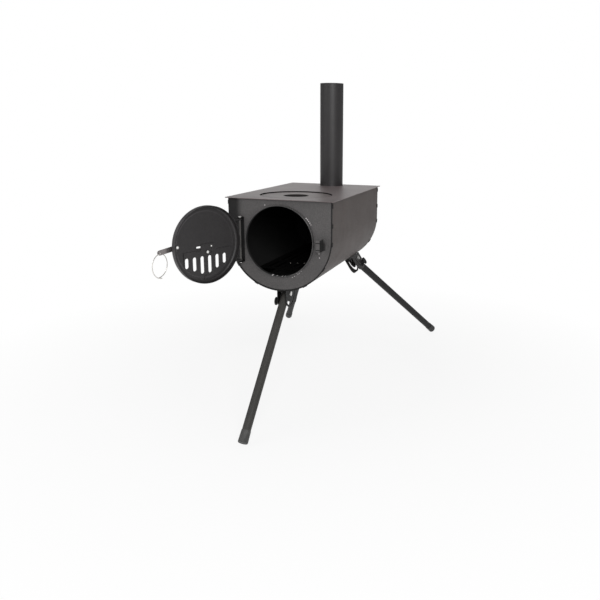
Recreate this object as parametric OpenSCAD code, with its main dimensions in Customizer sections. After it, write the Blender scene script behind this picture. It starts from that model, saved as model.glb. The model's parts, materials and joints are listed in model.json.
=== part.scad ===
// Portable wood stove for a tent: a firebox with a half-round bottom on three
// folding legs, with a round dished door, a hob lid and a lift-off flue pipe.
// X runs across the stove, Y from the door to the rear, Z up from the floor.

/* [Firebox] */
// Width across the side walls
body_w = 260; // [220:1:320]
// Height from the lowest point of the wrap to the top plate
body_h = 219.5; // [200:0.5:280]
// Length from the front plate to the rear plate
body_l = 435; // [380:1:520]
// Thickness of the wrap and of both end plates
sheet_t = 1.5; // [1.2:0.1:2]
// Height of the top plate's underside above the floor
stand_h = 514; // [460:1:560]
// Length of a seam tab along the edge of an end plate
tab_l = 10; // [6:1:14]
// Distance from one seam tab to the next on the straight sides
tab_pitch = 46; // [36:1:52]

/* [Top plate] */
// Overhang of the top plate past the firebox
top_overhang = 6.6; // [3:0.2:10]
// Thickness of the top plate
top_t = 1.5; // [1.2:0.1:3]
// Corner radius of the top plate
top_corner_r = 4; // [1:0.5:8]

/* [Hob] */
// Distance from the front plate to the centre of the hob
hob_y = 113; // [105:1:140]
// Radius of the hob lid
hob_r = 87.5; // [70:0.5:95]
// Thickness of the hob lid
hob_t = 2; // [1.5:0.5:3]
// Depth of the lid's upper face below the top plate
hob_sink = 2.4; // [1:0.1:4]
// Radius of the cup in the middle of the lid
cup_r = 30.7; // [20:0.1:40]
// Depth of the cup
cup_depth = 9; // [5:0.5:14]
// Radius of the two lift notches
notch_r = 6; // [4:0.5:8]
// Width of the ledge that carries the lid
ledge_w = 8; // [5:0.5:12]

/* [Flue] */
// Outer radius of the flue pipe
flue_r = 32.6; // [28:0.1:40]
// Wall of the flue pipe
flue_wall = 0.8; // [0.6:0.1:1.2]
// Distance from the rear plate to the flue's axis
flue_inset = 34; // [34:1:60]
// Height of the pipe's open end above the top plate's underside
flue_top = 285; // [200:1:400]
// Height of the spigot above the top plate
spigot_h = 40; // [25:1:60]

/* [Mouth] */
// Radius of the mouth in the front plate
mouth_r = 83.2; // [70:0.1:86]
// Depth of the mouth's centre below the top plate
mouth_drop = 98; // [95:1:110]
// Thickness of the rolled lip
lip_t = 2.8; // [2:0.1:3]
// Length of the lip in front of the plate
lip_out = 6; // [4:0.5:7]

/* [Door] */
// Outer radius of the door
door_r = 89.5; // [88:0.1:95]
// Depth of the dished door
door_depth = 14.5; // [12:0.5:17]
// Thickness of the door sheet
door_t = 1.2; // [1:0.1:1.5]
// Gap from the front plate to the edge of the closed door
door_standoff = 3; // [2:0.5:5]
// Distance from the door's centre to the hinge axis
hinge_reach = 96; // [96:0.5:104]
// Distance from the front plate to the hinge axis
hinge_out = 10; // [8:0.5:12]
// Angle from closed to the pose in which the door stands open
door_open_angle = 116.5; // [60:0.5:150]

/* [Air slots and damper] */
// Width of an air slot
slot_w = 10; // [6:0.2:10]
// Distance from one air slot to the next
slot_pitch = 20.6; // [20.4:0.2:21.2]
// Number of air slots
slot_n = 6; // [4:2:6]
// Depth of the slots' upper ends below the door's centre
slot_top_drop = 26.5; // [24:0.5:30]
// Depth of the middle slots' lower ends below the door's centre
slot_low_drop = 67.5; // [60:0.5:70]
// Rise of the lower end from one slot to the next outer one
slot_step = 8.5; // [4:0.5:10]
// Radius of the half-moon damper
damper_r = 76; // [74.5:0.5:76.5]
// Distance from the door's centre to the damper's cut side
damper_cut_x = 59; // [58:0.5:61]
// Thickness of the damper
damper_t = 1.2; // [1:0.1:1.5]
// Depth of the damper's straight edge below the door's centre
damper_edge_drop = 13.5; // [9:0.5:15]
// Radius of the damper's knob
knob_r = 8; // [6:0.5:10]
// Length of the damper's knob
knob_l = 13; // [8:0.5:18]

/* [Latch] */
// Width of the latch bar
bar_w = 11; // [9:0.5:13]
// Thickness of the latch bar
bar_t = 2.5; // [2:0.1:3]
// Distance from the latch rivet to the ring's hole
bar_l = 42.6; // [40:0.2:46]
// Distance from the door's centre to the latch rivet
latch_x = 74; // [70:0.1:76]
// Angle by which the bar droops when it rests in the catch
bar_droop = 9; // [5:0.5:12]
// Radius of the wire ring
ring_r = 27.5; // [15:0.5:30]
// Radius of the ring's wire
ring_wire_r = 0.9; // [0.6:0.1:1.2]

/* [Legs] */
// Angle of the front leg from the upright
front_spread = 43.9; // [40:0.1:48]
// Angle of a rear leg from its bracket's own centre line
rear_spread = 43.6; // [38:0.1:46]
// Angle round the bottom from the middle to a rear bracket
rear_bracket_angle = 32.3; // [26:0.1:38]
// Outer radius of the leg tube
leg_r = 10; // [8:0.5:11]
// Wall of the leg tube
leg_wall = 1.2; // [1:0.1:2]
// Wall of the foot cap at its upper end
cap_wall = 0.8; // [0.6:0.1:2]
// Length of the foot cap
cap_l = 28; // [20:1:40]
// Distance from the front plate to the front leg's pivot
front_pivot_y = 37; // [36:1:60]
// Distance from the rear plate to a rear leg's pivot
rear_pivot_inset = 46; // [38:1:80]

/* [Leg brackets] */
// Thickness of the bracket's sheet
bracket_t = 1.5; // [1.2:0.1:2.5]
// Depth of the pivot below the firebox
pivot_drop = 14; // [13:0.5:18]
// Radius of the arc slot about the pivot
arc_r = 24; // [22:0.5:28]
// Width of the arc slot
arc_w = 8; // [7:0.2:9]
// Width of the rim outside the arc slot
arc_rim = 5; // [4:0.5:8]
// Radius of the pivot rivet
rivet_r = 3.5; // [3:0.1:4.5]
// Radius of the thumb screw's shank
screw_r = 3; // [2.5:0.1:3.5]
// Radius of the thumb screw's head
thumb_r = 10; // [8:0.5:12]

/* [Grate] */
// Width of the log grate
grate_w = 140; // [110:1:170]
// Length of the log grate
grate_l = 360; // [300:1:380]
// Depth of the grate's upper face below the top plate
grate_drop = 172; // [165:1:180]
// Thickness of the grate
grate_t = 2; // [1.5:0.1:3]
// Distance from one slot of the grate to the next
grate_pitch = 20; // [16:1:26]

/* [Hidden] */

// Overrun of every cut
eps = 1;
// Radial clearance of a pin or shaft that turns in its hole
fit_gap = 0.08;
// Clearance between flat faces that slide past each other
face_gap = 0.3;
// Clearance of pieces that are set into each other loosely
set_gap = 0.8;

// Finish colours
paint = [0.24, 0.24, 0.24];
paint_dark = [0.17, 0.17, 0.17];
bare_steel = [0.75, 0.75, 0.73];
bar_steel = [0.45, 0.43, 0.42];
cap_black = [0.12, 0.12, 0.12];

// Firebox
bottom_r = body_w / 2;
straight_h = body_h - bottom_r;
flue_y = body_l - flue_inset;
rear_pivot_y = body_l - rear_pivot_inset;
// Angle between the seam tabs round the half-round bottom
tab_angle = 28.5;
// Number of seam tabs on each side of the lowest one
tab_n = 3;
// Stand-out of a seam tab from the side wall
tab_t = 1.2;
// Width of a seam tab along the firebox
tab_w = 5;
// Depth of the first seam tab below the top plate
tab_first = 10;

// Feet
// Growth of the foot cap's radius from its upper end to its foot
cap_flare = 0.6;
cap_r = leg_r + cap_wall + cap_flare;
// Radius of the foot cap's round edge
cap_edge_r = 2;
// Thickness of the foot cap below the tube's end
cap_floor = 3;
hub_h = stand_h - body_h - pivot_drop;
rear_hub_h = stand_h - straight_h - (bottom_r + pivot_drop) * cos(rear_bracket_angle);
front_leg_l = foot_distance(hub_h, front_spread);
rear_leg_l = foot_distance(rear_hub_h, acos(cos(rear_spread) * cos(rear_bracket_angle)));
front_reach = foot_reach(front_leg_l, front_spread) - front_pivot_y;
rear_reach = rear_pivot_y + foot_reach(rear_leg_l, rear_spread);
middle_y = (rear_reach - front_reach) / 2;

// Mouth and door
hinge_x = -hinge_reach;
door_edge_y = -door_standoff;
door_face_y = -door_standoff - door_depth;
door_inner_y = door_face_y + door_t;
// Corner radius of the dished door
door_corner_r = 6;

// Hinge
// Radius of the hinge rod
rod_r = 2;
// Distance between the two hinge ears on the door
ear_span = 100;
// Thickness of every hinge ear
ear_t = 2.5;
// Half width of the door's hinge ears
ear_half_w = 4.5;
// Radius of the rod's head
rod_head_r = 3.6;
// Height of the rod's head
rod_head_h = 2;
// Thickness of the hinge bracket's spine
spine_t = 2;
// Half width of the hinge bracket
spine_half_w = 6;
// Gap from a door ear to the bracket's ear
ear_gap = 1.5;
bracket_ear_z = ear_span / 2 + ear_gap;
bracket_half_h = bracket_ear_z + ear_t;

// Damper
damper_back_y = door_inner_y + face_gap;
damper_front_y = damper_back_y + damper_t;
half_pitch = slot_pitch / 2;
damper_travel = half_pitch;
// Place of the knob's stem, from the door's centre
stem_x = -15.5;
// Drop of the knob's stem below the door's centre
stem_drop = 5.2;
// Radius of the knob's stem
stem_r = 1.8;
// Ends of the door's guide slot, from the door's centre
guide_from = -22;
guide_to = 24.5;
// Width of the door's guide slot
guide_w = 4.2;
// Place of the middle of the damper's lobe, from the door's centre
lobe_x = -7.6;
// Half width of the damper's lobe
lobe_half_w = 21.5;
// Height of the lobe's edge above the knob's stem
lobe_rise = 6;
// Corner radius of the lobe
lobe_corner_r = 5;
// Place of the guide rivet, from the door's centre
guide_rivet_x = -4;
guide_rivet_drop = 18.2;
// Radius of the small rivets in the door
pin_r = 2;
// Radius and height of the small rivets' heads
pin_head_r = 4.3;
pin_head_h = 1.5;
// Widths of the knob's neck and foot as shares of its radius
knob_neck_share = 0.55;
knob_foot_share = 0.8;
// Lengths of the knob's foot and head as shares of its length
knob_foot_l_share = 0.2;
knob_head_l_share = 0.5;
// Width and reach of the clip under the damper
clip_w = 12;
clip_reach = 5;
clip_t = 1;

// Latch
bar_back_y = door_face_y - face_gap;
bar_front_y = bar_back_y - bar_t;
// Height of the latch rivet above the door's centre
latch_rise = 1.3;
// Radius of the ring's hole in the bar
ring_hole_r = 1.8;
// Stand-out of the ring's outer half in front of the bar's middle
ring_out = 6.2;
// Stand-out of the ring's inner half behind the bar's middle
ring_in = 3;
// Turn of the ring about the upright through its hole
ring_turn = 15;
// Place of the ring's hole on the closed door
ring_x = latch_x + bar_l * cos(bar_droop);
ring_z = latch_rise - bar_l * sin(bar_droop);
bar_mid_y = (bar_front_y + bar_back_y) / 2;
// Drop of the hanging ring's wire below the middle of its hole
ring_hang = sqrt(pow(ring_hole_r - ring_wire_r - fit_gap, 2) - pow(bar_t / 2 * tan(ring_turn), 2));

// Catch
// Gap from the closed door to the catch's front lip
catch_gap = 8.5;
catch_from = door_r + catch_gap;
// Length of the catch's front lip and of its flange
catch_lip_l = 10;
catch_flange_l = 13;
catch_web_x = catch_from + catch_lip_l;
catch_flange_to = catch_web_x + catch_flange_l;
// Thickness of the catch's sheet
catch_t = 1.5;
// Height of the catch above and below the door's centre
catch_rise = 11;
catch_fall = 16;
catch_lip_y = bar_front_y - set_gap;
// Drop from the bar's lower edge to the bottom of the catch's notch
notch_gap = 0.25;

// Leg brackets
bracket_in = leg_r + face_gap;
bracket_out = bracket_in + bracket_t;
rim_r = arc_r + arc_w / 2 + arc_rim;
// Distance from the pivot to the ear's far end on the folded side
ear_tail = 46;
// Radius of the round corners on the bracket's ears
ear_corner_r = 20;
// Height and radius of a pivot rivet's head
rivet_head_h = 2.2;
rivet_head_r = 5.6;
// Amount by which the arc slot's round ends are smaller than its half width
slot_ease = 0.1;
// Length of the solid plug that closes the leg's upper end
plug_l = 36;

// Thumb screw
// Radius and length of the collar that bears on the ear
collar_r = 5.5;
collar_l = 5;
// Thickness of the head
thumb_t = 3.5;
// Radius and depth of the dish in the head's face
dish_r = 6.5;
dish_depth = 0.8;
// Number and radius of the flutes round the head
flute_n = 16;
flute_r = 1.2;
// Depth of the screw's tip in the leg's plug
screw_depth = 9;

// Number of slots one behind the other in the grate
grate_rows = 4;
// Width of a grate slot as a share of the pitch
grate_slot_share = 0.45;

// Round pieces
fine = 96;
small = 48;

// Distance from a leg's pivot to its foot's end face at the hub's height and the leg's tilt
function foot_distance(h, tilt) =
    (h - cap_edge_r - (cap_r - cap_edge_r) * sin(tilt)) / cos(tilt) + cap_edge_r;

// Level distance from a leg's pivot to the far edge of its foot
function foot_reach(l, spread) =
    (l - cap_edge_r) * sin(spread) + (cap_r - cap_edge_r) * cos(spread) + cap_edge_r;

// Places a piece that is drawn from the top plate's underside and the front plate's face
module stove() {
    translate([0, -middle_y, stand_h])
        children();
}

// Outline of the end plates, drawn in X and Z
module end_outline(inset = 0) {
    intersection() {
        translate([0, -straight_h])
            circle(r = bottom_r - inset, $fn = fine * 2);
        translate([-bottom_r, -straight_h - bottom_r])
            square([body_w, bottom_r]);
    }
    translate([-(bottom_r - inset), -straight_h])
        square([2 * (bottom_r - inset), straight_h]);
}

// Extrudes an outline in X and Z towards the rear, from y over the length l
module to_rear(y, l) {
    translate([0, y + l, 0])
        rotate([90, 0, 0])
            linear_extrude(height = l)
                children();
}

// Revolves an outline about an axis along Y through x and z, with y as its height
module spun_y(x, z) {
    translate([x, 0, z])
        rotate([-90, 0, 0])
            rotate_extrude($fn = fine * 2)
                children();
}

// Cylinder along Y from y over the length l
module rod_y(x, y, z, r, l, facets = small) {
    translate([x, y, z])
        rotate([-90, 0, 0])
            cylinder(r = r, h = l, $fn = facets);
}

// Cylinder along X from x over the length l
module rod_x(x, y, z, r, l) {
    translate([x, y, z])
        rotate([0, 90, 0])
            cylinder(r = r, h = l, $fn = small);
}

// Seam tabs that fold from an end plate's rim onto the wrap, from y over the length l
module seam_tabs(y, l) {
    color(paint)
        stove()
            difference() {
                union() {
                    for (side = [-1, 1])
                        for (i = [0 : floor((straight_h - tab_first) / tab_pitch)])
                            translate([side * bottom_r, y + l / 2, -tab_first - i * tab_pitch])
                                cube([2 * tab_t, l, tab_l], center = true);
                    for (i = [-tab_n : tab_n])
                        translate([0, y + l / 2, -straight_h])
                            rotate([0, i * tab_angle, 0])
                                translate([0, 0, -bottom_r])
                                    cube([tab_l, l, 2 * tab_t], center = true);
                }
                to_rear(y - eps, l + 2 * eps)
                    end_outline();
            }
}

module front_seam_tabs() {
    seam_tabs(0, sheet_t + tab_w);
}

module rear_seam_tabs() {
    seam_tabs(body_l - sheet_t - tab_w, sheet_t + tab_w);
}

module body_wrap() {
    color(paint)
        stove()
            to_rear(sheet_t, body_l - 2 * sheet_t)
                difference() {
                    end_outline();
                    end_outline(sheet_t);
                    translate([-bottom_r + sheet_t, -sheet_t])
                        square([body_w - 2 * sheet_t, sheet_t + eps]);
                }
}

module front_plate() {
    color(paint)
        stove()
            to_rear(0, sheet_t)
                difference() {
                    end_outline();
                    translate([0, -mouth_drop])
                        circle(r = mouth_r + lip_t, $fn = fine * 2);
                }
}

module rear_plate() {
    color(paint)
        stove()
            to_rear(body_l - sheet_t, sheet_t)
                end_outline();
}

// Outline of the top plate, drawn in X and Y
module top_outline() {
    w = body_w + 2 * top_overhang;
    l = body_l + 2 * top_overhang;
    translate([-w / 2, -top_overhang + top_corner_r])
        square([w, l - 2 * top_corner_r]);
    translate([-w / 2 + top_corner_r, -top_overhang])
        square([w - 2 * top_corner_r, l]);
    for (x = [-1, 1])
        for (y = [-top_overhang + top_corner_r, body_l + top_overhang - top_corner_r])
            translate([x * (w / 2 - top_corner_r), y])
                circle(r = top_corner_r, $fn = small);
}

module top_plate() {
    color(paint)
        stove()
            linear_extrude(height = top_t)
                difference() {
                    top_outline();
                    translate([0, hob_y])
                        circle(r = hob_r + set_gap + sheet_t, $fn = fine * 2);
                    translate([0, flue_y])
                        circle(r = flue_r - flue_wall - fit_gap, $fn = fine);
                }
}

// Stepped ring that carries the hob lid below the top plate
module hob_seat() {
    wall_r = hob_r + set_gap;
    floor_z = top_t - hob_sink - hob_t;
    color(paint_dark)
        stove()
            translate([0, hob_y, 0])
                rotate_extrude($fn = fine * 2) {
                    translate([wall_r, floor_z - sheet_t])
                        square([sheet_t, top_t - floor_z + sheet_t]);
                    translate([wall_r - ledge_w, floor_z - sheet_t])
                        square([ledge_w + eps, sheet_t]);
                }
}

module hob_lid() {
    lid_top = top_t - hob_sink;
    color(paint)
        stove()
            translate([0, hob_y, lid_top]) {
                difference() {
                    translate([0, 0, -hob_t])
                        cylinder(r = hob_r, h = hob_t, $fn = fine * 2);
                    translate([0, 0, -hob_t - eps])
                        cylinder(r = cup_r, h = hob_t + 2 * eps, $fn = fine);
                    for (side = [-1, 1])
                        translate([side * hob_r, 0, -hob_t - eps])
                            cylinder(r = notch_r, h = hob_t + 2 * eps, $fn = small);
                }
                rotate_extrude($fn = fine) {
                    translate([cup_r - hob_t, -cup_depth])
                        square([hob_t, cup_depth]);
                    translate([0, -cup_depth - hob_t])
                        square([cup_r, hob_t]);
                    translate([cup_r - hob_t / 2, -hob_t])
                        square([hob_t, hob_t]);
                }
            }
}

module flue_spigot() {
    outer = flue_r - flue_wall - fit_gap;
    color(paint_dark)
        stove()
            translate([0, flue_y, 0])
                rotate_extrude($fn = fine)
                    translate([outer - sheet_t, -sheet_t])
                        square([sheet_t, top_t + spigot_h + sheet_t]);
}

module flue_pipe() {
    color(paint)
        stove()
            translate([0, flue_y, top_t])
                difference() {
                    cylinder(r = flue_r, h = flue_top - top_t, $fn = fine);
                    translate([0, 0, -eps])
                        cylinder(r = flue_r - flue_wall, h = flue_top - top_t + 2 * eps, $fn = fine);
                }
}

// Rolled lip round the mouth, set in the front plate's hole
module mouth_lip() {
    roll = lip_t / 2;
    color(paint_dark)
        stove()
            spun_y(0, -mouth_drop) {
                translate([mouth_r, -lip_out + roll])
                    square([lip_t, lip_out - roll + sheet_t]);
                translate([mouth_r + roll, -lip_out + roll])
                    circle(r = roll, $fn = small);
            }
}

module hinge_bracket() {
    color(paint_dark)
        stove()
            translate([hinge_x, 0, -mouth_drop])
                difference() {
                    union() {
                        translate([-spine_half_w, -spine_t, -bracket_half_h])
                            cube([2 * spine_half_w, spine_t, 2 * bracket_half_h]);
                        for (z = [-bracket_half_h, bracket_ear_z])
                            translate([0, 0, z]) {
                                translate([-spine_half_w, -hinge_out, 0])
                                    cube([2 * spine_half_w, hinge_out, ear_t]);
                                translate([0, -hinge_out, 0])
                                    cylinder(r = spine_half_w, h = ear_t, $fn = small);
                            }
                    }
                    translate([0, -hinge_out, -bracket_half_h - eps])
                        cylinder(r = rod_r + fit_gap, h = 2 * (bracket_half_h + eps), $fn = small);
                }
}

module hinge_rod() {
    color(bare_steel)
        stove()
            translate([hinge_x, -hinge_out, -mouth_drop]) {
                translate([0, 0, -bracket_half_h - rod_head_h])
                    cylinder(r = rod_r, h = 2 * bracket_half_h + rod_head_h, $fn = small);
                translate([0, 0, bracket_half_h])
                    cylinder(r = rod_head_r, h = rod_head_h, $fn = small);
            }
}

// Hook on the front plate that the latch bar drops into
module catch() {
    drop_tan = tan(bar_droop);
    run = catch_web_x + catch_t - latch_x;
    notch_z = latch_rise - run * drop_tan - bar_w / 2 / cos(bar_droop) - notch_gap;
    h = catch_rise + catch_fall;
    color(paint_dark)
        stove()
            translate([0, 0, -mouth_drop])
                difference() {
                    union() {
                        translate([catch_from, catch_lip_y - catch_t, -catch_fall])
                            cube([catch_web_x + catch_t - catch_from, catch_t, h]);
                        translate([catch_web_x, catch_lip_y - catch_t, -catch_fall])
                            cube([catch_t, catch_t - catch_lip_y, h]);
                        translate([catch_web_x, -catch_t, -catch_fall])
                            cube([catch_flange_to - catch_web_x, catch_t, h]);
                    }
                    translate([catch_web_x - eps, catch_lip_y, notch_z])
                        cube([catch_t + 2 * eps, bar_back_y + set_gap - catch_lip_y, catch_rise - notch_z + eps]);
                }
}

// Places a piece that is drawn on the closed door at the door's open pose
module door_open() {
    stove()
        translate([hinge_x, -hinge_out, 0])
            rotate([0, 0, -door_open_angle])
                translate([-hinge_x, hinge_out, -mouth_drop])
                    children();
}

// Slot with round ends, centred on x, from the height low to the height high
module upright_slot(x, low, high, w) {
    translate([x - w / 2, low + w / 2])
        square([w, high - low - w]);
    for (z = [low + w / 2, high - w / 2])
        translate([x, z])
            circle(r = w / 2, $fn = small);
}

// Slot with round ends, centred on the height z, from one x to the other
module level_slot(from, to, z, w) {
    translate([from + w / 2, z - w / 2])
        square([to - from - w, w]);
    for (x = [from + w / 2, to - w / 2])
        translate([x, z])
            circle(r = w / 2, $fn = small);
}

// The row of air slots, as it is cut in the door and in the damper
module air_slots() {
    for (side = [-1, 1])
        for (i = [0 : slot_n / 2 - 1])
            upright_slot(side * (i * slot_pitch + half_pitch), -slot_low_drop + i * slot_step, -slot_top_drop,
                slot_w);
}

module door_pan() {
    color(paint)
        door_open()
            difference() {
                spun_y(0, 0) {
                    translate([0, door_face_y])
                        square([door_r - door_corner_r, door_t]);
                    translate([door_r - door_t, door_face_y + door_corner_r])
                        square([door_t, door_depth - door_corner_r]);
                    translate([door_r - door_corner_r, door_face_y + door_corner_r])
                        difference() {
                            circle(r = door_corner_r, $fn = small);
                            circle(r = door_corner_r - door_t, $fn = small);
                            translate([-2 * door_corner_r, -door_corner_r])
                                square([2 * door_corner_r, 2 * door_corner_r]);
                            translate([-door_corner_r, 0])
                                square([2 * door_corner_r, 2 * door_corner_r]);
                        }
                }
                to_rear(door_face_y - eps, door_t + 2 * eps) {
                    air_slots();
                    level_slot(guide_from, guide_to, -stem_drop, guide_w);
                }
                for (place = [[latch_x, latch_rise], [guide_rivet_x, -guide_rivet_drop]])
                    rod_y(place[0], door_face_y - eps, place[1], pin_r + fit_gap, door_t + 2 * eps);
            }
}

module door_hinge_ears() {
    color(paint_dark)
        door_open()
            for (z = [-ear_span / 2, ear_span / 2 - ear_t])
                difference() {
                    union() {
                        translate([hinge_x, -hinge_out - ear_half_w, z])
                            cube([hinge_reach - door_r / 2, 2 * ear_half_w, ear_t]);
                        translate([hinge_x, -hinge_out, z])
                            cylinder(r = ear_half_w, h = ear_t, $fn = small);
                    }
                    translate([hinge_x, -hinge_out, z - eps])
                        cylinder(r = rod_r + fit_gap, h = ear_t + 2 * eps, $fn = small);
                    rod_y(0, -hinge_out - ear_half_w - eps, 0, door_r, 2 * (ear_half_w + eps), fine * 2);
                }
}

module latch_rivet() {
    color(bare_steel)
        door_open() {
            rod_y(latch_x, bar_front_y - face_gap, latch_rise, pin_r, door_inner_y - bar_front_y + face_gap);
            rod_y(latch_x, bar_front_y - face_gap - pin_head_h, latch_rise, pin_head_r, pin_head_h);
            rod_y(latch_x, door_inner_y, latch_rise, pin_head_r, pin_head_h);
        }
}

module guide_rivet() {
    color(bare_steel)
        door_open() {
            rod_y(guide_rivet_x, door_face_y, -guide_rivet_drop, pin_r, damper_front_y - door_face_y + face_gap);
            rod_y(guide_rivet_x, damper_front_y + face_gap, -guide_rivet_drop, pin_head_r, pin_head_h);
            rod_y(guide_rivet_x, door_face_y - pin_head_h, -guide_rivet_drop, pin_head_r, pin_head_h);
        }
}

// Bent clip on the door that holds the damper's lower edge
module damper_clip() {
    edge = -damper_r - face_gap;
    color(paint_dark)
        door_open() {
            translate([-clip_w / 2, door_inner_y, edge - clip_reach])
                cube([clip_w, clip_t, clip_reach]);
            translate([-clip_w / 2, door_inner_y, edge - clip_t])
                cube([clip_w, damper_front_y - door_inner_y + face_gap + clip_t, clip_t]);
            translate([-clip_w / 2, damper_front_y + face_gap, edge - clip_t])
                cube([clip_w, clip_t, clip_reach]);
        }
}

module damper_plate() {
    lobe_top = -stem_drop + lobe_rise;
    color(paint)
        door_open()
            to_rear(damper_back_y, damper_t)
                difference() {
                    union() {
                        intersection() {
                            circle(r = damper_r, $fn = fine * 2);
                            translate([-damper_r, -damper_r])
                                square([damper_r + damper_cut_x, damper_r - damper_edge_drop]);
                        }
                        translate([lobe_x - lobe_half_w, -2 * damper_edge_drop])
                            square([2 * lobe_half_w, 2 * damper_edge_drop + lobe_top - lobe_corner_r]);
                        translate([lobe_x - lobe_half_w + lobe_corner_r, -2 * damper_edge_drop])
                            square([2 * (lobe_half_w - lobe_corner_r), 2 * damper_edge_drop + lobe_top]);
                        for (side = [-1, 1])
                            translate([lobe_x + side * (lobe_half_w - lobe_corner_r), lobe_top - lobe_corner_r])
                                circle(r = lobe_corner_r, $fn = small);
                    }
                    air_slots();
                    level_slot(guide_rivet_x - damper_travel - pin_r - face_gap, guide_rivet_x + pin_r + face_gap,
                        -guide_rivet_drop, 2 * (pin_r + face_gap));
                    translate([stem_x, -stem_drop])
                        circle(r = stem_r + fit_gap, $fn = small);
                }
}

module damper_knob() {
    base_y = door_face_y - face_gap;
    color(bare_steel)
        door_open()
            translate([stem_x, 0, -stem_drop])
                rotate([90, 0, 0])
                    rotate_extrude($fn = small) {
                        translate([0, -damper_front_y])
                            square([stem_r, damper_front_y - base_y]);
                        translate([0, -base_y])
                            square([knob_r * knob_neck_share, knob_l]);
                        translate([0, -base_y])
                            square([knob_r * knob_foot_share, knob_l * knob_foot_l_share]);
                        translate([0, -base_y + knob_l * (1 - knob_head_l_share)])
                            square([knob_r, knob_l * knob_head_l_share]);
                    }
}

// Places a piece that is drawn level from the latch rivet at the bar's droop
module latch_frame() {
    door_open()
        translate([latch_x, 0, latch_rise])
            rotate([0, bar_droop, 0])
                children();
}

module latch_bar() {
    color(bar_steel)
        latch_frame()
            to_rear(bar_front_y, bar_t)
                difference() {
                    union() {
                        circle(r = bar_w / 2, $fn = small);
                        translate([0, -bar_w / 2])
                            square([bar_l, bar_w]);
                        translate([bar_l, 0])
                            circle(r = bar_w / 2, $fn = small);
                    }
                    circle(r = pin_r + fit_gap, $fn = small);
                    translate([bar_l, 0])
                        circle(r = ring_hole_r, $fn = small);
                }
}

// Half ring of wire that hangs from the hole, on the side given
module half_ring(side) {
    translate([0, 0, -ring_r])
        rotate([90, 0, 0])
            rotate([0, 0, side > 0 ? -90 : 90])
                rotate_extrude(angle = 180, $fn = fine)
                    translate([ring_r, 0])
                        circle(r = ring_wire_r, $fn = small);
}

module latch_ring() {
    color(bare_steel)
        door_open()
            translate([ring_x, bar_mid_y, ring_z - ring_hang])
                rotate([0, 0, ring_turn]) {
                    for (z = [0, -2 * ring_r])
                        rod_y(0, -ring_out, z, ring_wire_r, ring_out + ring_in);
                    translate([0, -ring_out, 0])
                        half_ring(-1);
                    translate([0, ring_in, 0])
                        half_ring(1);
                }
}

// Places a leg bracket or what it carries: the pivot lies on the frame's X axis,
// the deployed side is towards -Y, and -Z points away from the firebox
module bracket_frame(angle, y, turn) {
    stove()
        translate([0, y, -straight_h])
            rotate([0, -angle, 0])
                translate([0, 0, -bottom_r - pivot_drop])
                    rotate([0, 0, turn])
                        children();
}

module front_frame() {
    bracket_frame(0, front_pivot_y, 0)
        children();
}

module rear_frame(side) {
    bracket_frame(side * rear_bracket_angle, rear_pivot_y, 180)
        children();
}

// Point on the arc slot at an angle from -Z towards +Y, drawn in Y and Z
function arc_point(a) = [arc_r * sin(a), -arc_r * cos(a)];

// Outline of a bracket's ear, drawn in Y and Z from the pivot
module ear_outline() {
    intersection() {
        union() {
            circle(r = rim_r, $fn = fine);
            translate([-rim_r, 0])
                square([rim_r + ear_tail, pivot_drop]);
            translate([0, -rim_r])
                square([ear_tail - ear_corner_r, rim_r]);
            translate([0, -rim_r + ear_corner_r])
                square([ear_tail, rim_r]);
            translate([ear_tail - ear_corner_r, -rim_r + ear_corner_r])
                circle(r = ear_corner_r, $fn = small);
        }
        translate([-rim_r + arc_rim, -rim_r])
            square([rim_r + ear_tail, rim_r + pivot_drop]);
    }
}

// Cutter of the arc slot in which the thumb screw travels, drawn in Y and Z
module arc_slot(from, to) {
    rotate([0, 0, from - 90])
        slot_band(to - from);
    for (a = [from, to])
        translate(arc_point(a))
            circle(r = arc_w / 2 - slot_ease, $fn = small);
}

// Flat band of the slot's width round the pivot, from the X axis over the angle
module slot_band(angle) {
    reach = 2 * rim_r;
    intersection() {
        difference() {
            circle(r = arc_r + arc_w / 2, $fn = fine);
            circle(r = arc_r - arc_w / 2, $fn = fine);
        }
        polygon([[0, 0], [reach, 0], [reach * cos(angle / 2), reach * sin(angle / 2)],
            [reach * cos(angle), reach * sin(angle)]]);
    }
}

// One leg bracket with its web against the firebox
module leg_bracket(spread) {
    difference() {
        union() {
            translate([-bracket_out, -rim_r + arc_rim, pivot_drop - bracket_t])
                cube([2 * bracket_out, rim_r - arc_rim + ear_tail, bracket_t]);
            for (x = [-bracket_out, bracket_in])
                translate([x, 0, 0])
                    rotate([90, 0, 90])
                        linear_extrude(height = bracket_t)
                            difference() {
                                ear_outline();
                                arc_slot(-spread, 90);
                            }
        }
        rod_x(-bracket_out - eps, 0, 0, rivet_r + fit_gap, 2 * (bracket_out + eps));
    }
}

module front_leg_bracket() {
    color(paint)
        front_frame()
            leg_bracket(front_spread);
}

module rear_left_leg_bracket() {
    color(paint)
        rear_frame(-1)
            leg_bracket(rear_spread);
}

module rear_right_leg_bracket() {
    color(paint)
        rear_frame(1)
            leg_bracket(rear_spread);
}

// Rivet on which one leg turns
module pivot_rivet() {
    rod_x(-bracket_out, 0, 0, rivet_r, 2 * bracket_out);
    for (x = [-bracket_out - rivet_head_h, bracket_out])
        rod_x(x, 0, 0, rivet_head_r, rivet_head_h);
}

module leg_pivot_rivets() {
    color(bare_steel) {
        front_frame()
            pivot_rivet();
        for (side = [-1, 1])
            rear_frame(side)
                pivot_rivet();
    }
}

// Turns a piece that is drawn along -Z out to the leg's spread
module spread_out(spread) {
    rotate([-spread, 0, 0])
        children();
}

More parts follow.
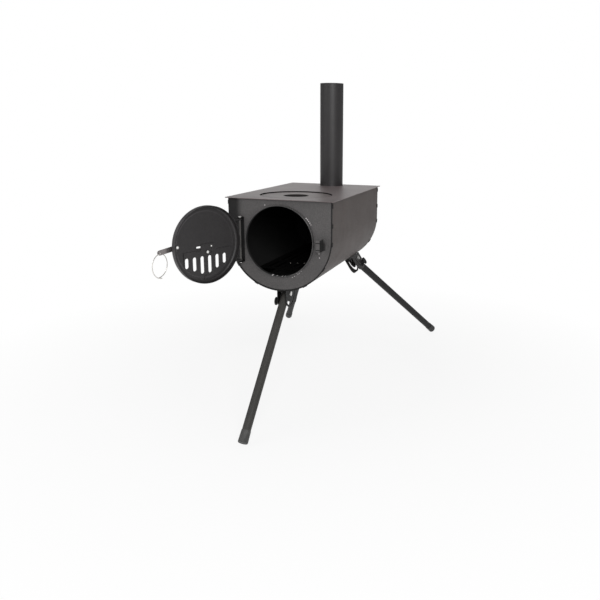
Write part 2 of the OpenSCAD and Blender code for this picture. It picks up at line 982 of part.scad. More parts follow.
// One leg: round tube, closed by a plug with a round end, that turns on the rivet
module leg(l, spread) {
    spread_out(spread)
        difference() {
            rotate_extrude($fn = fine) {
                translate([0, -l + cap_floor])
                    square([leg_r, l - cap_floor]);
                intersection() {
                    circle(r = leg_r, $fn = fine);
                    square([leg_r, leg_r]);
                }
            }
            translate([0, 0, -l + cap_floor - eps])
                cylinder(r = leg_r - leg_wall, h = l - cap_floor - plug_l + eps, $fn = fine);
            rod_x(-leg_r - eps, 0, 0, rivet_r + fit_gap, 2 * (leg_r + eps));
            rod_x(-leg_r - eps, 0, -arc_r, screw_r + fit_gap, 2 * (leg_r + eps));
        }
}

// Flared cap with a flat end that closes the foot of a leg
module foot_cap(l, spread) {
    spread_out(spread)
        translate([0, 0, -l])
            difference() {
                rotate_extrude($fn = fine) {
                    polygon([[0, 0], [cap_r - cap_edge_r, 0], [cap_r, cap_edge_r], [cap_r - cap_flare, cap_l],
                        [0, cap_l]]);
                    translate([cap_r - cap_edge_r, cap_edge_r])
                        circle(r = cap_edge_r, $fn = small);
                }
                translate([0, 0, cap_floor])
                    cylinder(r = leg_r + fit_gap, h = cap_l, $fn = fine);
            }
}

// Thumb screw that clamps the leg in the arc slot and rides with the leg
module thumb_screw(spread) {
    head_x = -bracket_out - collar_l - thumb_t;
    spread_out(spread)
        translate([0, 0, -arc_r])
            difference() {
                union() {
                    rod_x(-bracket_out, 0, 0, screw_r, screw_depth);
                    rod_x(head_x + thumb_t, 0, 0, collar_r, collar_l);
                    rod_x(head_x, 0, 0, thumb_r, thumb_t);
                }
                rod_x(head_x - eps, 0, 0, dish_r, dish_depth + eps);
                for (i = [0 : flute_n - 1])
                    rotate([i * 360 / flute_n, 0, 0])
                        rod_x(head_x - eps, 0, thumb_r, flute_r, thumb_t + 2 * eps);
            }
}

module front_leg() {
    color(paint)
        front_frame()
            leg(front_leg_l, front_spread);
}

module front_foot_cap() {
    color(cap_black)
        front_frame()
            foot_cap(front_leg_l, front_spread);
}

module front_thumb_screw() {
    color(paint_dark)
        front_frame()
            thumb_screw(front_spread);
}

module rear_left_leg() {
    color(paint)
        rear_frame(-1)
            leg(rear_leg_l, rear_spread);
}

module rear_left_foot_cap() {
    color(cap_black)
        rear_frame(-1)
            foot_cap(rear_leg_l, rear_spread);
}

module rear_left_thumb_screw() {
    color(paint_dark)
        rear_frame(-1)
            thumb_screw(rear_spread);
}

module rear_right_leg() {
    color(paint)
        rear_frame(1)
            leg(rear_leg_l, rear_spread);
}

module rear_right_foot_cap() {
    color(cap_black)
        rear_frame(1)
            foot_cap(rear_leg_l, rear_spread);
}

module rear_right_thumb_screw() {
    color(paint_dark)
        rear_frame(1)
            thumb_screw(rear_spread);
}

// Slotted grate with folded legs that stand on the firebox's round bottom
module log_grate() {
    start_y = (body_l - grate_l) / 2;
    columns = round(grate_w / grate_pitch) - 1;
    bridge = grate_pitch / 2;
    slot_l = (grate_l - (grate_rows + 1) * bridge) / grate_rows;
    color(paint_dark)
        stove()
            difference() {
                union() {
                    translate([-grate_w / 2, start_y, -grate_drop - grate_t])
                        cube([grate_w, grate_l, grate_t]);
                    intersection() {
                        for (side = [0, 1])
                            mirror([side, 0, 0])
                                translate([grate_w / 2 - grate_t, start_y, -body_h])
                                    cube([grate_t, grate_l, body_h - grate_drop]);
                        rod_y(0, start_y - eps, -straight_h, bottom_r - sheet_t - fit_gap, grate_l + 2 * eps,
                            fine * 2);
                    }
                }
                for (i = [0 : columns - 1])
                    for (k = [0 : grate_rows - 1])
                        translate([(i - (columns - 1) / 2) * grate_pitch,
                            start_y + bridge + k * (slot_l + bridge),
                            -grate_drop - grate_t - eps])
                            linear_extrude(height = grate_t + 2 * eps)
                                upright_slot(0, 0, slot_l, grate_pitch * grate_slot_share);
            }
}

body_wrap();
front_plate();
rear_plate();
front_seam_tabs();
rear_seam_tabs();
top_plate();
hob_seat();
hob_lid();
flue_spigot();
flue_pipe();
mouth_lip();
hinge_bracket();
hinge_rod();
catch();
door_pan();
door_hinge_ears();
latch_rivet();
guide_rivet();
damper_clip();
damper_plate();
damper_knob();
latch_bar();
latch_ring();
front_leg_bracket();
rear_left_leg_bracket();
rear_right_leg_bracket();
leg_pivot_rivets();
front_leg();
front_foot_cap();
front_thumb_screw();
rear_left_leg();
rear_left_foot_cap();
rear_left_thumb_screw();
rear_right_leg();
rear_right_foot_cap();
rear_right_thumb_screw();
log_grate();
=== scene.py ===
import json
import math

import bpy
from mathutils import Matrix, Vector

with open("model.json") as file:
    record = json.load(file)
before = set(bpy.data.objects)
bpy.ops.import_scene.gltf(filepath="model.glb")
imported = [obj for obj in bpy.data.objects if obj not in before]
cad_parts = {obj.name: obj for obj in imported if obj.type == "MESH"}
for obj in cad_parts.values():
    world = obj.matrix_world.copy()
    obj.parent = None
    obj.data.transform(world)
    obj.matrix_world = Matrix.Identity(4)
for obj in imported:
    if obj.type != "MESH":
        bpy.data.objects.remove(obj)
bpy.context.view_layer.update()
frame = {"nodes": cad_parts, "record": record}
nodes = frame["nodes"]

# The stove's own axes start at the top edge of the front plate, in the middle, and run as the
# shared frame's do. All in metres.
MIDDLE_Y = 0.247396   # from there back to the shared frame's origin
STAND_H = 0.514       # from the floor up to there
BODY_R = 0.130        # outer radius of the firebox's round bottom
BODY_L = 0.435        # length of the firebox
STRAIGHT_H = 0.0895   # from the top edge down to the round's middle
SHEET_HALF = 0.00075  # half the sheet's thickness
SEAM_IN = 0.0018      # from an end plate's face to the middle of its seam
MOUTH_Z = -0.098      # height of the middle of the mouth, the door and the catch
HOB_Y = 0.113         # the middle of the hob

# The open door's hinge line, its turn, and the reach from the hinge to the door's middle
HINGE_X, HINGE_Y = -0.096, -0.010
DOOR_TURN = math.radians(-116.5)
DOOR_REACH = 0.096

PHOTO_PX = 600  # width and height of the photograph
SENSOR_MM = 36  # width of the camera's sensor


def at(x, y, z):
    """A place in millimetres on the stove's own axes, in the shared frame."""
    return Vector((x / 1000, y / 1000 - MIDDLE_Y, z / 1000 + STAND_H))


def linear(c):
    """The linear value of one sRGB value from 0 to 255."""
    return c / 255 / 12.92 if c <= 10 else ((c / 255 + 0.055) / 1.055) ** 2.4


def srgb(r, g, b):
    """A colour for a socket, from sRGB values."""
    return linear(r), linear(g), linear(b), 1.0


def shade(colour, factor, lift=0.0):
    """The colour made darker or lighter."""
    return tuple(min(1, c * factor + lift) for c in colour[:3]) + (1.0,)


class Nodes:
    """A material's node tree with short calls."""

    def __init__(self, name):
        self.mat = bpy.data.materials.new(name)
        self.mat.use_nodes = True
        self.tree = self.mat.node_tree
        self.tree.nodes.clear()
        self.out = self.add("ShaderNodeOutputMaterial")
        self.bsdf = self.add("ShaderNodeBsdfPrincipled")
        self.link(self.bsdf.outputs["BSDF"], self.out.inputs["Surface"])
        self.coord = self.add("ShaderNodeTexCoord")
        self.split = None

    def add(self, kind, **values):
        node = self.tree.nodes.new(kind)
        for key, value in values.items():
            setattr(node, key, value)
        return node

    def link(self, a, b):
        self.tree.links.new(a, b)

    def feed(self, socket, value):
        if isinstance(value, bpy.types.NodeSocket):
            self.link(value, socket)
        else:
            socket.default_value = value

    def math(self, operation, a, b=0.0):
        node = self.add("ShaderNodeMath", operation=operation)
        self.feed(node.inputs[0], a)
        self.feed(node.inputs[1], b)
        return node.outputs["Value"]

    def plus(self, a, b):
        return self.math("ADD", a, b)

    def minus(self, a, b):
        return self.math("SUBTRACT", a, b)

    def times(self, a, b):
        return self.math("MULTIPLY", a, b)

    def length(self, a, b):
        """Length of the flat vector a, b."""
        return self.math("SQRT", self.plus(self.times(a, a), self.times(b, b)))

    def place(self, axis):
        """The surface point's coordinate on one of the stove's own axes."""
        if self.split is None:
            shift = self.add("ShaderNodeVectorMath", operation="ADD")
            shift.inputs[1].default_value = (0, MIDDLE_Y, -STAND_H)
            self.link(self.coord.outputs["Object"], shift.inputs[0])
            self.split = self.add("ShaderNodeSeparateXYZ")
            self.link(shift.outputs["Vector"], self.split.inputs["Vector"])
        return self.split.outputs[axis]

    def noise(self, scale, detail, rough, stretch=(1, 1, 1), distort=0.0):
        mapping = self.add("ShaderNodeMapping")
        mapping.inputs["Scale"].default_value = stretch
        self.link(self.coord.outputs["Object"], mapping.inputs["Vector"])
        tex = self.add("ShaderNodeTexNoise")
        tex.inputs["Scale"].default_value = scale
        tex.inputs["Detail"].default_value = detail
        tex.inputs["Roughness"].default_value = rough
        tex.inputs["Distortion"].default_value = distort
        self.link(mapping.outputs["Vector"], tex.inputs["Vector"])
        return tex.outputs["Fac"]

    def ramp(self, fac, stops):
        ramp = self.add("ShaderNodeValToRGB")
        while len(ramp.color_ramp.elements) < len(stops):
            ramp.color_ramp.elements.new(0.5)
        for element, (place, colour) in zip(ramp.color_ramp.elements, stops):
            element.position = place
            element.color = colour if len(colour) == 4 else tuple(colour) + (1.0,)
        self.link(fac, ramp.inputs["Fac"])
        return ramp.outputs["Color"]

    def mix(self, fac, a, b, mode="MIX"):
        mix = self.add("ShaderNodeMix", data_type="RGBA", blend_type=mode)
        for socket, value in ((mix.inputs[0], fac), (mix.inputs[6], a), (mix.inputs[7], b)):
            self.feed(socket, value)
        return mix.outputs[2]

    def to_range(self, fac, low, high):
        node = self.add("ShaderNodeMapRange")
        node.inputs["To Min"].default_value = low
        node.inputs["To Max"].default_value = high
        self.link(fac, node.inputs["Value"])
        return node.outputs["Result"]

    def rise(self, value, low, high):
        """Smooth mask that goes from 0 at low to 1 at high."""
        node = self.add("ShaderNodeMapRange", interpolation_type="SMOOTHSTEP")
        node.inputs["From Min"].default_value = low
        node.inputs["From Max"].default_value = high
        self.link(value, node.inputs["Value"])
        return node.outputs["Result"]

    def fall(self, value, low, high):
        """Smooth mask that goes from 1 at low to 0 at high."""
        return self.minus(1.0, self.rise(value, low, high))

    def between(self, value, rise, fall):
        """Smooth mask that rises over one pair of values and falls over the other."""
        return self.times(self.rise(value, *rise), self.fall(value, *fall))

    def band(self, value, middle, inner, outer):
        """Smooth mask that is 1 near the middle value and 0 further than outer from it."""
        return self.fall(self.math("ABSOLUTE", self.minus(value, middle)), inner, outer)

    def bump(self, height, distance, strength, below=None):
        node = self.add("ShaderNodeBump")
        node.inputs["Strength"].default_value = strength
        node.inputs["Distance"].default_value = distance
        self.link(height, node.inputs["Height"])
        if below is not None:
            self.link(below, node.inputs["Normal"])
        return node.outputs["Normal"]

    def edges(self, radius):
        """Mask of the sheet's edges and bends, from how far the rounded normal turns."""
        bevel = self.add("ShaderNodeBevel", samples=6)
        bevel.inputs["Radius"].default_value = radius
        geometry = self.add("ShaderNodeNewGeometry")
        dot = self.add("ShaderNodeVectorMath", operation="DOT_PRODUCT")
        self.link(bevel.outputs["Normal"], dot.inputs[0])
        self.link(geometry.outputs["True Normal"], dot.inputs[1])
        return self.rise(self.minus(1.0, dot.outputs["Value"]), 0.03, 0.25)

    def finish(self, tone, roughness, normal):
        self.link(tone, self.bsdf.inputs["Base Color"])
        self.link(roughness, self.bsdf.inputs["Roughness"])
        self.link(normal, self.bsdf.inputs["Normal"])
        return self.mat


# Masks on the firebox. Distances in masks are in metres.

def away(m, axis_a, a, axis_b, b):
    """Distance from the line through a and b on two axes."""
    return m.length(m.minus(m.place(axis_a), a), m.minus(m.place(axis_b), b))


def spots(m, places, second="Z"):
    """Mask of small round soft marks at places (x, on the second axis, radius) in millimetres."""
    mask = None
    for x, other, radius in places:
        far = away(m, "X", x / 1000, second, other / 1000)
        dot = m.fall(far, 0.4 * radius / 1000, radius / 1000)
        mask = dot if mask is None else m.math("MAXIMUM", mask, dot)
    return mask


def wrap_reach(m):
    """Distance from the firebox's middle, measured towards the wrap."""
    drop = m.math("MINIMUM", m.plus(m.place("Z"), STRAIGHT_H), 0.0)
    return m.length(m.place("X"), drop)


def inside_mask(m):
    """1 on the firebox's inner faces, 0 on its outer ones."""
    inside = m.math("LESS_THAN", wrap_reach(m), BODY_R - SHEET_HALF)
    inside = m.times(inside, m.math("GREATER_THAN", m.place("Y"), SHEET_HALF))
    inside = m.times(inside, m.math("LESS_THAN", m.place("Y"), BODY_L - SHEET_HALF))
    return m.times(inside, m.math("LESS_THAN", m.place("Z"), SHEET_HALF))


def seam_line(m):
    """1 along the lapped seams beside both end plates."""
    front = m.math("ABSOLUTE", m.minus(m.place("Y"), SEAM_IN))
    rear = m.math("ABSOLUTE", m.minus(m.place("Y"), BODY_L - SEAM_IN))
    return m.fall(m.math("MINIMUM", front, rear), 0.0030, 0.0046)


def plate_rim_shade(m):
    """1 on the bent edge of an end plate, the band of painted shade there, slimmer on the right
    side.
    """
    slim = m.times(m.rise(m.place("X"), 0.0, 0.12), 0.0018)
    return m.rise(m.minus(wrap_reach(m), slim), BODY_R - 0.0052, BODY_R - 0.0038)


def door_shadow_paint(m):
    """Painted shadow of the open door: a ragged dark strip down the front plate's left side, beside
    the hinge.
    """
    ragged = m.times(m.noise(40, 4, 0.6), 0.006)
    return m.times(m.fall(m.plus(m.place("X"), ragged), -0.108, -0.087), 0.95)


def lip_bore_shade(m):
    """Painted shade on the mouth lip's inner face."""
    return m.fall(away(m, "X", 0.0, "Z", MOUTH_Z), 0.0836, 0.0844)


def lid_cup_shade(m):
    """Painted shade in the hob lid's cup."""
    return m.fall(away(m, "X", 0.0, "Y", HOB_Y), 0.0300, 0.0335)


def top_front_shade(m):
    """Painted shade: the top plate faintly darker in front of the hob."""
    return m.times(m.fall(m.place("Y"), -0.01, 0.10), 0.16)


def flue_foot(m):
    """The flue pipe darker towards its foot."""
    return m.times(m.fall(m.place("Z"), 0.0, 0.10), 0.16)


# Masks on the catch

def catch_web_shade(m):
    """Painted shade on the catch's web, which the latch bar rubs."""
    web = m.between(m.place("X"), (0.1070, 0.1080), (0.1096, 0.1104))
    return m.times(web, m.fall(m.place("Y"), -0.002, -0.001))


def catch_slot_shade(m):
    """Painted shade in two lines along the edges of the slot in the catch's front lip."""
    z = m.minus(m.place("Z"), MOUTH_Z)
    upper, lower = m.band(z, 0.0045, 0.0008, 0.0016), m.band(z, -0.0118, 0.0008, 0.0016)
    lines = m.times(m.math("MAXIMUM", upper, lower), 0.95)
    return m.times(lines, m.math("LESS_THAN", m.place("Y"), -0.019))


def catch_shadow_paint(m):
    """Painted shadow on the catch beside its web."""
    across = m.between(m.place("X"), (0.1085, 0.1095), (0.1120, 0.1165))
    upright = m.between(m.place("Z"), (-0.1150, -0.1125), (-0.0990, -0.0890))
    return m.times(m.times(across, upright), 0.9)


# Masks on the open door

def door_axes(m):
    """The point's place from the door's middle: along the door's width, and up."""
    x, y = m.minus(m.place("X"), HINGE_X), m.minus(m.place("Y"), HINGE_Y)
    along = m.plus(m.times(x, math.cos(DOOR_TURN)), m.times(y, math.sin(DOOR_TURN)))
    return m.minus(along, DOOR_REACH), m.minus(m.place("Z"), MOUTH_Z)


def door_ring_highlight(m):
    """Painted highlight in a ring round the door's face where it curves up to the rim, plainest on
    the side of the latch.
    """
    u, z = door_axes(m)
    ring = m.band(m.length(u, z), 0.0765, 0.0007, 0.0019)
    side = m.to_range(m.rise(u, -0.05, 0.06), 0.35, 1.0)
    return m.times(m.times(ring, side), m.rise(m.noise(26, 5, 0.65), 0.26, 0.50))


def door_rim_highlight(m):
    """Painted highlight along the door's outer edge, on the side away from the hinge."""
    u, z = door_axes(m)
    ring = m.times(m.rise(m.length(u, z), 0.0866, 0.0882), m.rise(u, -0.02, 0.05))
    return m.times(ring, m.rise(m.noise(30, 5, 0.65), 0.3, 0.6))


# Materials

def heat_paint(name, base, rough=(0.48, 0.62), specular=0.5, wear=0.35, blotch=9,
               light=(), dark=(), marks=(), bright=9, chipped=False, sooty=False,
               seams=False, rim=False):
    """Matt to satin heat paint: cloudy tone, fine grain, faint scratches and rubbed edges.

    light holds masks of painted highlights and dark masks of darkening, most of it painted shade;
    marks holds the places of small light marks, some of them painted glints, and bright is how
    much lighter those are. sooty blackens the firebox's inside, seams its lapped seams, and rim
    darkens the bent edge of an end plate with painted shade.
    """
    m = Nodes(name)
    tone = m.ramp(m.noise(blotch, 5, 0.6, distort=0.4),
                  [(0.30, shade(base, 0.86)), (0.50, base), (0.72, shade(base, 1.14))])
    speck = m.ramp(m.noise(405, 2, 0.5), [(0.38, (0.72, 0.72, 0.72)), (0.64, (1.24, 1.22, 1.20))])
    tone = m.mix(0.6, tone, speck, "MULTIPLY")
    scratch = m.noise(70, 6, 0.7, stretch=(1.0, 0.12, 5.0), distort=0.2)
    tone = m.mix(m.times(m.rise(scratch, 0.66, 0.74), 0.22), tone, shade(base, 1.9, 0.01))
    rubbed = m.times(m.edges(0.0007), m.rise(m.noise(38, 5, 0.65), 0.36, 0.62))
    tone = m.mix(m.times(rubbed, wear), tone, shade(base, 2.4, 0.05))
    roughness = m.to_range(m.noise(blotch * 2.5, 4, 0.6), *rough)
    if seams:
        tone = m.mix(m.times(seam_line(m), 0.85), tone, shade(base, 0.2))
    if rim:
        # Painted shade on an end plate's bent edge
        line = plate_rim_shade(m)
        tone = m.mix(m.times(line, 0.95), tone, shade(base, 0.05))
        roughness = m.math("MAXIMUM", roughness, m.times(line, 0.9))
    for mask in light:
        # Painted highlights
        tone = m.mix(m.times(mask(m), 0.6), tone, shade(base, 2.6, 0.02))
    for mask in dark:
        # Darkening, most of it painted shade
        black = m.times(mask(m), 0.95)
        tone = m.mix(black, tone, shade(base, 0.06))
        roughness = m.math("MAXIMUM", roughness, black)
    if marks:
        # Small light marks, some of them painted glints
        tone = m.mix(m.times(spots(m, marks), 0.8), tone, shade(base, bright, 0.05))
    if chipped:
        flake = m.rise(m.noise(55, 3, 0.6, distort=0.3), 0.72, 0.75)
        tone = m.mix(flake, tone, srgb(190, 186, 180))
        m.link(m.times(flake, 0.9), m.bsdf.inputs["Metallic"])
    if sooty:
        inside = inside_mask(m)
        black = m.ramp(m.noise(24, 6, 0.7, distort=0.8),
                       [(0.3, srgb(7, 7, 7)), (0.6, srgb(15, 14, 14)), (0.8, srgb(34, 32, 31))])
        tone = m.mix(inside, tone, black)
        roughness = m.math("MAXIMUM", roughness, m.times(inside, 0.88))
    m.bsdf.inputs["Specular IOR Level"].default_value = specular
    fine = m.bump(m.noise(900, 3, 0.6), 0.00012, 0.35)
    return m.finish(tone, roughness, m.bump(m.noise(5.0, 2, 0.5), 0.0025, 0.12, fine))


def steel(name, base, rough, metallic, highlight_tips=None):
    """Zinc-plated steel with a little tarnish, with a near-white painted highlight beyond the two
    heights given for its ends.
    """
    m = Nodes(name)
    tone = m.ramp(m.noise(45, 5, 0.6, distort=0.5),
                  [(0.35, shade(base, 0.55)), (0.55, base), (0.8, base)])
    streak = m.ramp(m.noise(400, 4, 0.6), [(0.3, (0.8, 0.8, 0.8)), (0.7, (1.1, 1.1, 1.1))])
    tone = m.mix(0.7, tone, streak, "MULTIPLY")
    if highlight_tips:
        # Painted highlights on the rod's two ends
        low = m.fall(m.place("Z"), highlight_tips[0], highlight_tips[0] + 0.0006)
        high = m.times(m.rise(m.place("Z"), highlight_tips[1] - 0.0006, highlight_tips[1]), 0.6)
        tone = m.mix(m.math("MAXIMUM", low, high), tone, srgb(250, 249, 246))
    m.bsdf.inputs["Metallic"].default_value = metallic
    roughness = m.to_range(m.noise(160, 4, 0.6), *rough)
    return m.finish(tone, roughness, m.bump(m.noise(500, 3, 0.6), 0.00008, 0.3))


def rivet(name, base, u0, z0):
    """Rivet head at the place u0, z0 on the door, its near-white tone a painted highlight and its
    edge darkened with painted shade.
    """
    m = Nodes(name)
    u, z = door_axes(m)
    edge = m.rise(m.length(m.minus(u, u0), m.minus(z, z0)), 0.0026, 0.0036)
    tone = m.ramp(m.noise(220, 4, 0.6), [(0.3, shade(base, 0.75)), (0.6, base)])
    # Painted shade round the head's edge
    tone = m.mix(m.times(edge, 0.92), tone, srgb(40, 38, 38))
    m.bsdf.inputs["Metallic"].default_value = 0.3
    roughness = m.to_range(m.noise(160, 4, 0.6), 0.25, 0.4)
    return m.finish(tone, roughness, m.bump(m.noise(700, 3, 0.6), 0.00006, 0.3))


def rubber(name, base):
    """Dusty black rubber."""
    m = Nodes(name)
    tone = m.ramp(m.noise(60, 4, 0.6), [(0.3, shade(base, 0.7)), (0.7, shade(base, 1.3))])
    dust = m.ramp(m.noise(25, 6, 0.65, distort=0.6), [(0.5, (0, 0, 0)), (0.75, (0.35, 0.35, 0.35))])
    tone = m.mix(dust, tone, (0.13, 0.125, 0.12, 1))
    roughness = m.to_range(m.noise(80, 3, 0.5), 0.5, 0.72)
    return m.finish(tone, roughness, m.bump(m.noise(1200, 2, 0.5), 0.0001, 0.4))


def soot(name, base, marks=()):
    """Steel covered with soot, with light marks at places (x, y, radius): bare spots and painted
    glints.
    """
    m = Nodes(name)
    tone = m.ramp(m.noise(30, 6, 0.7, distort=0.8),
                  [(0.3, shade(base, 0.5)), (0.6, base), (0.8, shade(base, 1.8, 0.01))])
    if marks:
        tone = m.mix(spots(m, marks, "Y"), tone, srgb(200, 196, 190))
    m.bsdf.inputs["Specular IOR Level"].default_value = 0.08
    roughness = m.to_range(m.noise(50, 4, 0.6), 0.8, 1.0)
    return m.finish(tone, roughness, m.bump(m.noise(450, 4, 0.65), 0.0003, 0.5))


# Small light marks, in millimetres: specks above the mouth and below the catch, and painted glints
# beside the mouth's lip at its upper right and at its lower right
PLATE_MARKS_AND_GLINTS = [
    (-36, -13.7, 1.8),
    (98.5, -122, 1.6), (99.7, -131.5, 1.6),
    (67.2, -40.3, 2.0), (70.2, -43.5, 2.0), (73.1, -47, 1.8), (76.1, -51, 1.8), (78.8, -54.8, 1.4),
    (31.5, -182.9, 1.2), (37.3, -179.8, 1.2), (45.7, -174.3, 1.3), (49, -171.6, 1.3),
    (54.1, -166.6, 1.1),
]
# Light marks on the mouth lip's lower inner face: bare chips and painted glints
LIP_CHIPS_AND_GLINTS = [(-16.6, -179.6, 2.2), (-6, -181, 1.0), (8, -181, 1.1), (15, -180, 0.9),
             (30, -181.5, 1.2), (45, -171.4, 1.2)]
# Light marks on the grate: bare rubbed spots and painted glints
GRATE_MARKS_AND_GLINTS = [(-14.7, 107.4, 2.2), (-7.5, 109.9, 3), (3.2, 111, 2.6), (9.6, 115.9, 3.6),
               (20.4, 114.4, 3)]
MATT = (0.50, 0.64)  # the range of roughness of the matt pieces

# Materials by the record's slot. Every piece of the slot stove_paint has its own below.
SLOTS = {
    # The top plate's paint is lighter than the body's, a painted reflection of the light the top
    # catches; its darker front is painted shade
    "top_paint": heat_paint("top_paint", srgb(116, 106, 106), rough=(0.36, 0.48),
                            dark=[top_front_shade], sooty=True),
    "flue_paint": heat_paint("flue_paint", srgb(42, 40, 41), rough=(0.40, 0.55),
                             dark=[flue_foot]),
    "door_paint": heat_paint("door_paint", srgb(42, 40, 41), rough=(0.42, 0.56),
                             light=[door_ring_highlight, door_rim_highlight]),
    "leg_paint": heat_paint("leg_paint", srgb(26, 26, 26), rough=(0.46, 0.60), specular=0.3,
                            blotch=18),
    "soot_steel": soot("soot_steel", srgb(14, 13, 13)),
    "bare_steel": steel("bare_steel", srgb(244, 243, 240), (0.16, 0.30), 0.7),
    "bar_steel": steel("bar_steel", srgb(150, 144, 144), (0.32, 0.46), 0.9),
    "ring_wire": steel("ring_wire", srgb(232, 228, 222), (0.25, 0.4), 0.6),
    "foot_rubber": rubber("foot_rubber", srgb(50, 50, 50)),
}
# Materials of the pieces that look different or carry marks of their own; several are lighter or
# darker copies of one paint, toned for the light and shade that falls on each piece
OWN = {
    "front_plate": heat_paint("front_paint", srgb(76, 74, 74), rough=MATT, dark=[door_shadow_paint],
                              marks=PLATE_MARKS_AND_GLINTS, sooty=True, rim=True),
    "rear_plate": heat_paint("rear_paint", srgb(62, 60, 60), rough=MATT, sooty=True, rim=True),
    "body_wrap": heat_paint("wrap_paint", srgb(70, 61, 58), rough=MATT, specular=0.4,
                            sooty=True, seams=True),
    # Lighter like the top plate's paint, for the light the lid catches, with painted shade in its
    # cup
    "hob_lid": heat_paint("lid_paint", srgb(108, 99, 98), rough=(0.38, 0.50), dark=[lid_cup_shade]),
    "mouth_lip": heat_paint("lip_paint", srgb(66, 65, 65), rough=(0.24, 0.36), dark=[lip_bore_shade],
                            marks=LIP_CHIPS_AND_GLINTS, bright=14, chipped=True),
    "catch": heat_paint("catch_paint", srgb(76, 74, 74),
                        dark=[catch_web_shade, catch_slot_shade, catch_shadow_paint]),
    "front_seam_tabs": heat_paint("front_tab_paint", srgb(18, 17, 16), specular=0.15, wear=0.05),
    "rear_seam_tabs": heat_paint("rear_tab_paint", srgb(14, 13, 13), specular=0.1, wear=0.0),
    # Near-black, painted shade round the hinge rod
    "hinge_bracket": heat_paint("hinge_paint", srgb(12, 12, 12), specular=0.2, wear=0.1),
    "hinge_rod": steel("rod_steel", srgb(96, 94, 92), (0.34, 0.48), 0.6,
                       highlight_tips=(-0.1505, -0.0440)),
    "log_grate": soot("grate_soot", srgb(5, 5, 5), marks=GRATE_MARKS_AND_GLINTS),
    # A lit copy of the legs' paint, lighter than the rear legs
    "front_leg": heat_paint("front_leg_paint", srgb(64, 63, 61), rough=MATT, specular=0.25,
                            blotch=18),
    # The brackets' tones are painted light and shade: the front one darker in the body's shadow,
    # the rear ones lighter
    "front_leg_bracket": heat_paint("front_bracket_paint", srgb(18, 18, 18), specular=0.25),
    "rear_left_leg_bracket": heat_paint("left_bracket_paint", srgb(36, 35, 35), specular=0.3),
    "rear_right_leg_bracket": heat_paint("right_bracket_paint", srgb(50, 48, 48),
                                         rough=(0.36, 0.5), specular=0.4),
    # A lit copy of the feet's rubber, lighter than the rear caps
    "front_foot_cap": rubber("front_cap_rubber", srgb(68, 68, 67)),
    # Near-white rivet heads, a painted highlight
    "latch_rivet": rivet("latch_rivet_steel", srgb(250, 249, 247), 0.074, 0.0013),
    "guide_rivet": rivet("guide_rivet_steel", srgb(244, 243, 240), -0.004, -0.0182),
    "hob_seat": soot("seat_soot", srgb(26, 24, 24)),
}
for part in frame["record"]["subparts"]:
    materials = nodes[part["node"]].data.materials
    materials.clear()
    materials.append(OWN.get(part["node"]) or SLOTS[part["material_slot"]])


# Studio

def floor_material():
    """Plain white floor that keeps a soft shadow and fades into the white background."""
    m = Nodes("studio_floor")
    m.bsdf.inputs["Base Color"].default_value = (0.93, 0.93, 0.93, 1)
    m.bsdf.inputs["Roughness"].default_value = 0.9
    m.bsdf.inputs["Specular IOR Level"].default_value = 0.1
    glow = m.add("ShaderNodeEmission")
    glow.inputs["Strength"].default_value = 1.0
    path = m.add("ShaderNodeLightPath")
    far = m.add("ShaderNodeVectorMath", operation="LENGTH")
    m.link(m.coord.outputs["Object"], far.inputs[0])
    fade = m.add("ShaderNodeMapRange")
    fade.inputs["From Min"].default_value = 0.35
    fade.inputs["From Max"].default_value = 1.1
    fade.inputs["To Min"].default_value = 0.84
    m.link(far.outputs["Value"], fade.inputs["Value"])
    seen = m.math("MAXIMUM", path.outputs["Is Camera Ray"], path.outputs["Is Glossy Ray"])
    mix = m.add("ShaderNodeMixShader")
    m.link(m.times(fade.outputs["Result"], seen), mix.inputs["Fac"])
    m.link(m.bsdf.outputs["BSDF"], mix.inputs[1])
    m.link(glow.outputs["Emission"], mix.inputs[2])
    m.link(mix.outputs["Shader"], m.out.inputs["Surface"])
    return m.mat


FLOOR_HALF = 6  # half the floor's side, in metres
corners = [(x * FLOOR_HALF, y * FLOOR_HALF, 0) for x, y in ((-1, -1), (1, -1), (1, 1), (-1, 1))]
mesh = bpy.data.meshes.new("studio_floor")
mesh.from_pydata(corners, [], [(0, 1, 2, 3)])
mesh.materials.append(floor_material())
floor = bpy.data.objects.new("studio_floor", mesh)
bpy.context.scene.collection.objects.link(floor)


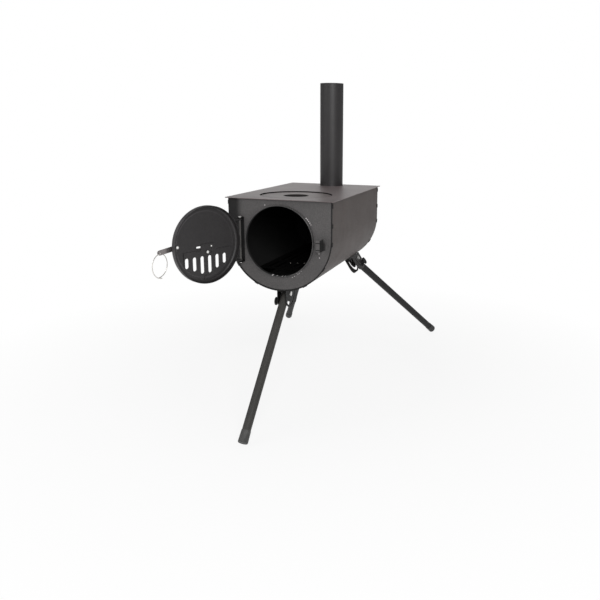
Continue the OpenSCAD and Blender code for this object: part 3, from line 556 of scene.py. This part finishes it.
def white_world(light):
    """White where the camera looks at it or through glass, and a weaker light elsewhere."""
    world = bpy.data.worlds.new("studio")
    bpy.context.scene.world = world
    world.use_nodes = True
    tree = world.node_tree
    background = tree.nodes["Background"]
    background.inputs["Color"].default_value = (1, 1, 1, 1)
    path = tree.nodes.new("ShaderNodeLightPath")
    seen = tree.nodes.new("ShaderNodeMath")
    seen.operation = "MAXIMUM"
    tree.links.new(path.outputs["Is Camera Ray"], seen.inputs[0])
    tree.links.new(path.outputs["Is Transmission Ray"], seen.inputs[1])
    level = tree.nodes.new("ShaderNodeMapRange")
    level.inputs["To Min"].default_value = light
    level.inputs["To Max"].default_value = 1.0
    tree.links.new(seen.outputs["Value"], level.inputs["Value"])
    tree.links.new(level.outputs["Result"], background.inputs["Strength"])


def area_light(name, place, target, size, power):
    """A square lamp at the place that shines at the target."""
    data = bpy.data.lights.new(name, "AREA")
    data.shape = "SQUARE"
    data.size = size
    data.energy = power
    lamp = bpy.data.objects.new(name, data)
    lamp.location = place
    aim = Vector(target) - Vector(place)
    lamp.rotation_euler = aim.to_track_quat("-Z", "Y").to_euler()
    bpy.context.scene.collection.objects.link(lamp)


white_world(0.32)
area_light("key", (1.3, -2.7, 1.7), (0, 0, 0.35), 1.4, 56)
area_light("fill", (-2.0, -2.0, 1.8), (0, 0, 0.35), 2.0, 16)
area_light("rim", (-0.5, 2.7, 1.9), (0, 0, 0.45), 2.6, 13)


def photo_camera(eye, yaw, pitch, roll, focal_px, centre_x, centre_y):
    """The camera at the place, the angles and the frame that the photograph was taken with."""
    forward = Vector((math.sin(yaw) * math.cos(pitch), math.cos(yaw) * math.cos(pitch),
                      -math.sin(pitch)))
    right = Vector((math.cos(yaw), -math.sin(yaw), 0))
    up = right.cross(forward)
    right, up = (right * math.cos(roll) + up * math.sin(roll),
                 up * math.cos(roll) - right * math.sin(roll))
    data = bpy.data.cameras.new("camera")
    data.sensor_width = SENSOR_MM
    data.lens = focal_px / PHOTO_PX * SENSOR_MM
    data.shift_x = (PHOTO_PX / 2 - centre_x) / PHOTO_PX
    data.shift_y = (centre_y - PHOTO_PX / 2) / PHOTO_PX
    data.clip_start = 0.05
    data.clip_end = 50
    camera = bpy.data.objects.new("camera", data)
    turn = Matrix((right, up, -forward)).transposed()
    camera.matrix_world = Matrix.Translation(eye) @ turn.to_4x4()
    bpy.context.scene.collection.objects.link(camera)
    return camera


bpy.context.scene.camera = photo_camera(
    eye=at(579.44073, -1414.05567, 168.74184), yaw=-0.27569495, pitch=0.2294832,
    roll=0.01246891, focal_px=651.1982, centre_x=352.08031, centre_y=278.47286)
bpy.context.scene.view_settings.view_transform = "Standard"
